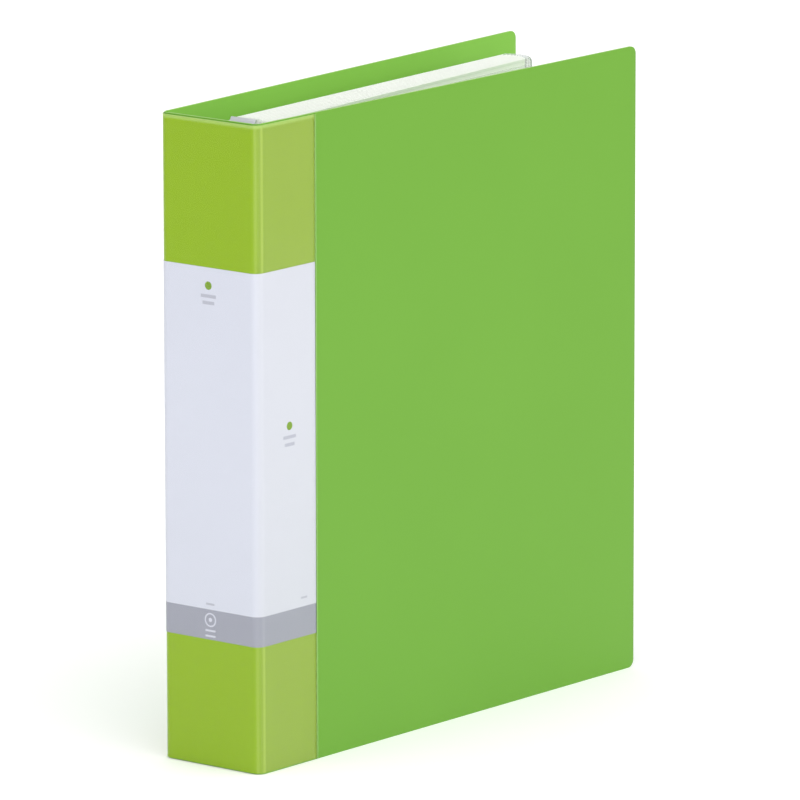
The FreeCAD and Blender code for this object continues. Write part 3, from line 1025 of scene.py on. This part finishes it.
def joined(name, *pieces):
    """Several objects as one."""
    work = bmesh.new()
    materials = []
    for piece in pieces:
        start = len(work.faces)
        work.from_mesh(piece.data)
        work.faces.ensure_lookup_table()
        for face in work.faces[start:]:
            material = piece.data.materials[face.material_index]
            if material not in materials:
                materials.append(material)
            face.material_index = materials.index(material)
    mesh = bpy.data.meshes.new(name)
    work.to_mesh(mesh)
    work.free()
    for material in materials:
        mesh.materials.append(material)
    for piece in pieces:
        bpy.data.objects.remove(piece)
    return new_object(name, mesh)


def leaf_pockets(name):
    """All the clear parts of one leaf, with the leaf's inner edge at x = 0 and its middle at y = 0."""
    join = LEAF_WIDE - MARGIN + 0.1
    pitch = (LEAF_TOP - LEAF_FOOT - 2 * POCKET_EDGE + POCKET_SPACE) / POCKET_ROWS
    foot = LEAF_FOOT + POCKET_EDGE
    parts = []
    for side in (FRONT, BACK):
        parts.append(
            repeat(
                "rows",
                pocket_strip(side, join - POCKET_START - 0.05, pitch - POCKET_SPACE),
                POCKET_ROWS,
                (POCKET_START, 0, foot),
                (0, 0, pitch),
                pocket_film,
            )
        )
    margin = margin_strip(join, LEAF_WIDE, CARD / 2 + POCKET, LEAF_FOOT, LEAF_TOP, 3.0)
    parts.append(dress(margin, pocket_film, pocket_weld, pocket_film))
    count = int((LEAF_TOP - LEAF_FOOT - 8) / 4)
    parts.append(
        repeat(
            "dashes",
            lozenge("leaf dash", 0.5, 2.4, 0.05),
            count,
            (join + 1.2, -CARD / 2 - POCKET, LEAF_FOOT + 6),
            (0, 0, 4.0),
            pocket_weld,
            variation=0.05,
            seed=5,
        )
    )
    return joined(name, *parts)


def head_shade_strip(name):
    """A slightly grey strip along the head of the foremost leaf: a painted shadow line at its top edge."""
    half = CARD / 2 + POCKET
    foot, top = LEAF_TOP - HEAD_SHADE, LEAF_TOP - 0.1
    ends = (POCKET_START, LEAF_WIDE - MARGIN)
    return dress(slab(name, [((x, -half), (x, half), x, foot, top) for x in ends]), painted_head_shade)


leaf_unit = leaf_pockets("leaf unit")
for number in range(LEAF_COUNT):
    leaf = f"leaf_{LEAF_COUNT - number:02d}"
    side = STACK_BACK - number * STACK_PITCH
    start = math.sqrt(RING_RADIUS**2 - side**2) + HOLE_SHIFT
    place = leaf_turned(number) @ Matrix.Translation((start * MM, side * MM, 0))
    mesh = leaf_unit.data.copy()
    mesh.transform(place)
    piece = new_object(f"{leaf}_pocket_rows", mesh)
    # the foremost leaf gets the painted shadow line along its head
    if number == LEAF_COUNT - 1:
        strip = head_shade_strip("head shade strip")
        strip.data.transform(place)
        piece = joined(f"{leaf}_pocket_rows", piece, strip)
    smooth(piece, 40)
    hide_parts(f"{leaf}_pockets")
    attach(piece, leaf)
    dress(frame["nodes"][f"{leaf}_card"], card_paper)
bpy.data.objects.remove(leaf_unit)
print(LEAF_COUNT, "leaves,", round(LEAF_WIDE, 2), "mm wide, pockets from", round(POCKET_START, 2))

# %% [markdown]
# ## Floor, light and camera
#
# The album stands on a pale floor in soft, even light. The camera is far off with a long lens, and
# sees the spine and the front cover.

# %% Floor and light
world = bpy.data.worlds.new("studio")
world.use_nodes = True
world.node_tree.nodes["Background"].inputs[0].default_value = (1.0, 1.0, 1.0, 1.0)
world.node_tree.nodes["Background"].inputs[1].default_value = 0.8
bpy.context.scene.world = world

floor_mesh = bpy.data.meshes.new("floor")
floor_mesh.from_pydata([(-6, -6, 0), (6, -6, 0), (6, 6, 0), (-6, 6, 0)], [], [(0, 1, 2, 3)])
floor = new_object("floor", floor_mesh)
pale = Mat("pale_floor", roughness=0.8)
pale.colour(pale.blend(pale.noise(200), (0.94, 0.94, 0.94), (0.96, 0.96, 0.96)))
pale.set("Emission Color", (1.0, 1.0, 1.0, 1.0))
pale.set("Emission Strength", 0.1)
dress(floor, pale.material)
floor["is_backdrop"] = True


def area_light(name, position, target, size, power):
    light = bpy.data.lights.new(name, "AREA")
    light.shape, light.size, light.energy = "SQUARE", size, power
    lamp = bpy.data.objects.new(name, light)
    lamp.location = position
    lamp.rotation_euler = (Vector(target) - Vector(position)).to_track_quat("-Z", "Y").to_euler()
    bpy.context.scene.collection.objects.link(lamp)


MIDDLE = (0.14, 0.0, 0.15)
GLOW_PLACE, GLOW_SIZE, GLOW_POWER = (-1.9, -1.5, 0.7), 0.5, 2  # metres and watts
area_light("corner_glow", GLOW_PLACE, MIDDLE, GLOW_SIZE, GLOW_POWER)
sky = bpy.data.lights.new("overhead", "SUN")
sky.energy, sky.angle = 1.6, math.radians(100)
overhead = bpy.data.objects.new("overhead", sky)
overhead.rotation_euler = (math.radians(38), 0.0, math.radians(-25))
bpy.context.scene.collection.objects.link(overhead)

# %% Camera
AZIMUTH, ELEVATION, ROLL = math.radians(-52.66), math.radians(12.21), math.radians(-0.10)
TARGET, DISTANCE = Vector((145.15 * MM, 0.0, 151.15 * MM)), 4233.8 * MM
away = Vector(
    (math.sin(AZIMUTH) * math.cos(ELEVATION), -math.cos(AZIMUTH) * math.cos(ELEVATION), math.sin(ELEVATION))
)
lens = bpy.data.cameras.new("camera")
SENSOR, FOCAL, VIEW_WIDTH = 36.0, 8819.4, 800  # the lens is FOCAL / VIEW_WIDTH sensors long
lens.sensor_width, lens.lens = SENSOR, SENSOR * FOCAL / VIEW_WIDTH
lens.clip_start, lens.clip_end = 0.1, 50.0
camera = bpy.data.objects.new("camera", lens)
bpy.context.scene.collection.objects.link(camera)
camera.location = TARGET + away * DISTANCE
camera.rotation_mode = "QUATERNION"
camera.rotation_quaternion = (-away).to_track_quat("-Z", "Y") @ Matrix.Rotation(ROLL, 3, "Z").to_quaternion()
bpy.context.scene.camera = camera
bpy.context.scene.view_settings.view_transform = "Standard"

# %% Print how far the pieces reach past the CAD's box
low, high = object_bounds()
grown_low = [round((a - b) / MM, 2) for a, b in zip(cad_box[0], low)]
grown_high = [round((b - a) / MM, 2) for a, b in zip(cad_box[1], high)]
print("grows by", grown_low, grown_high)
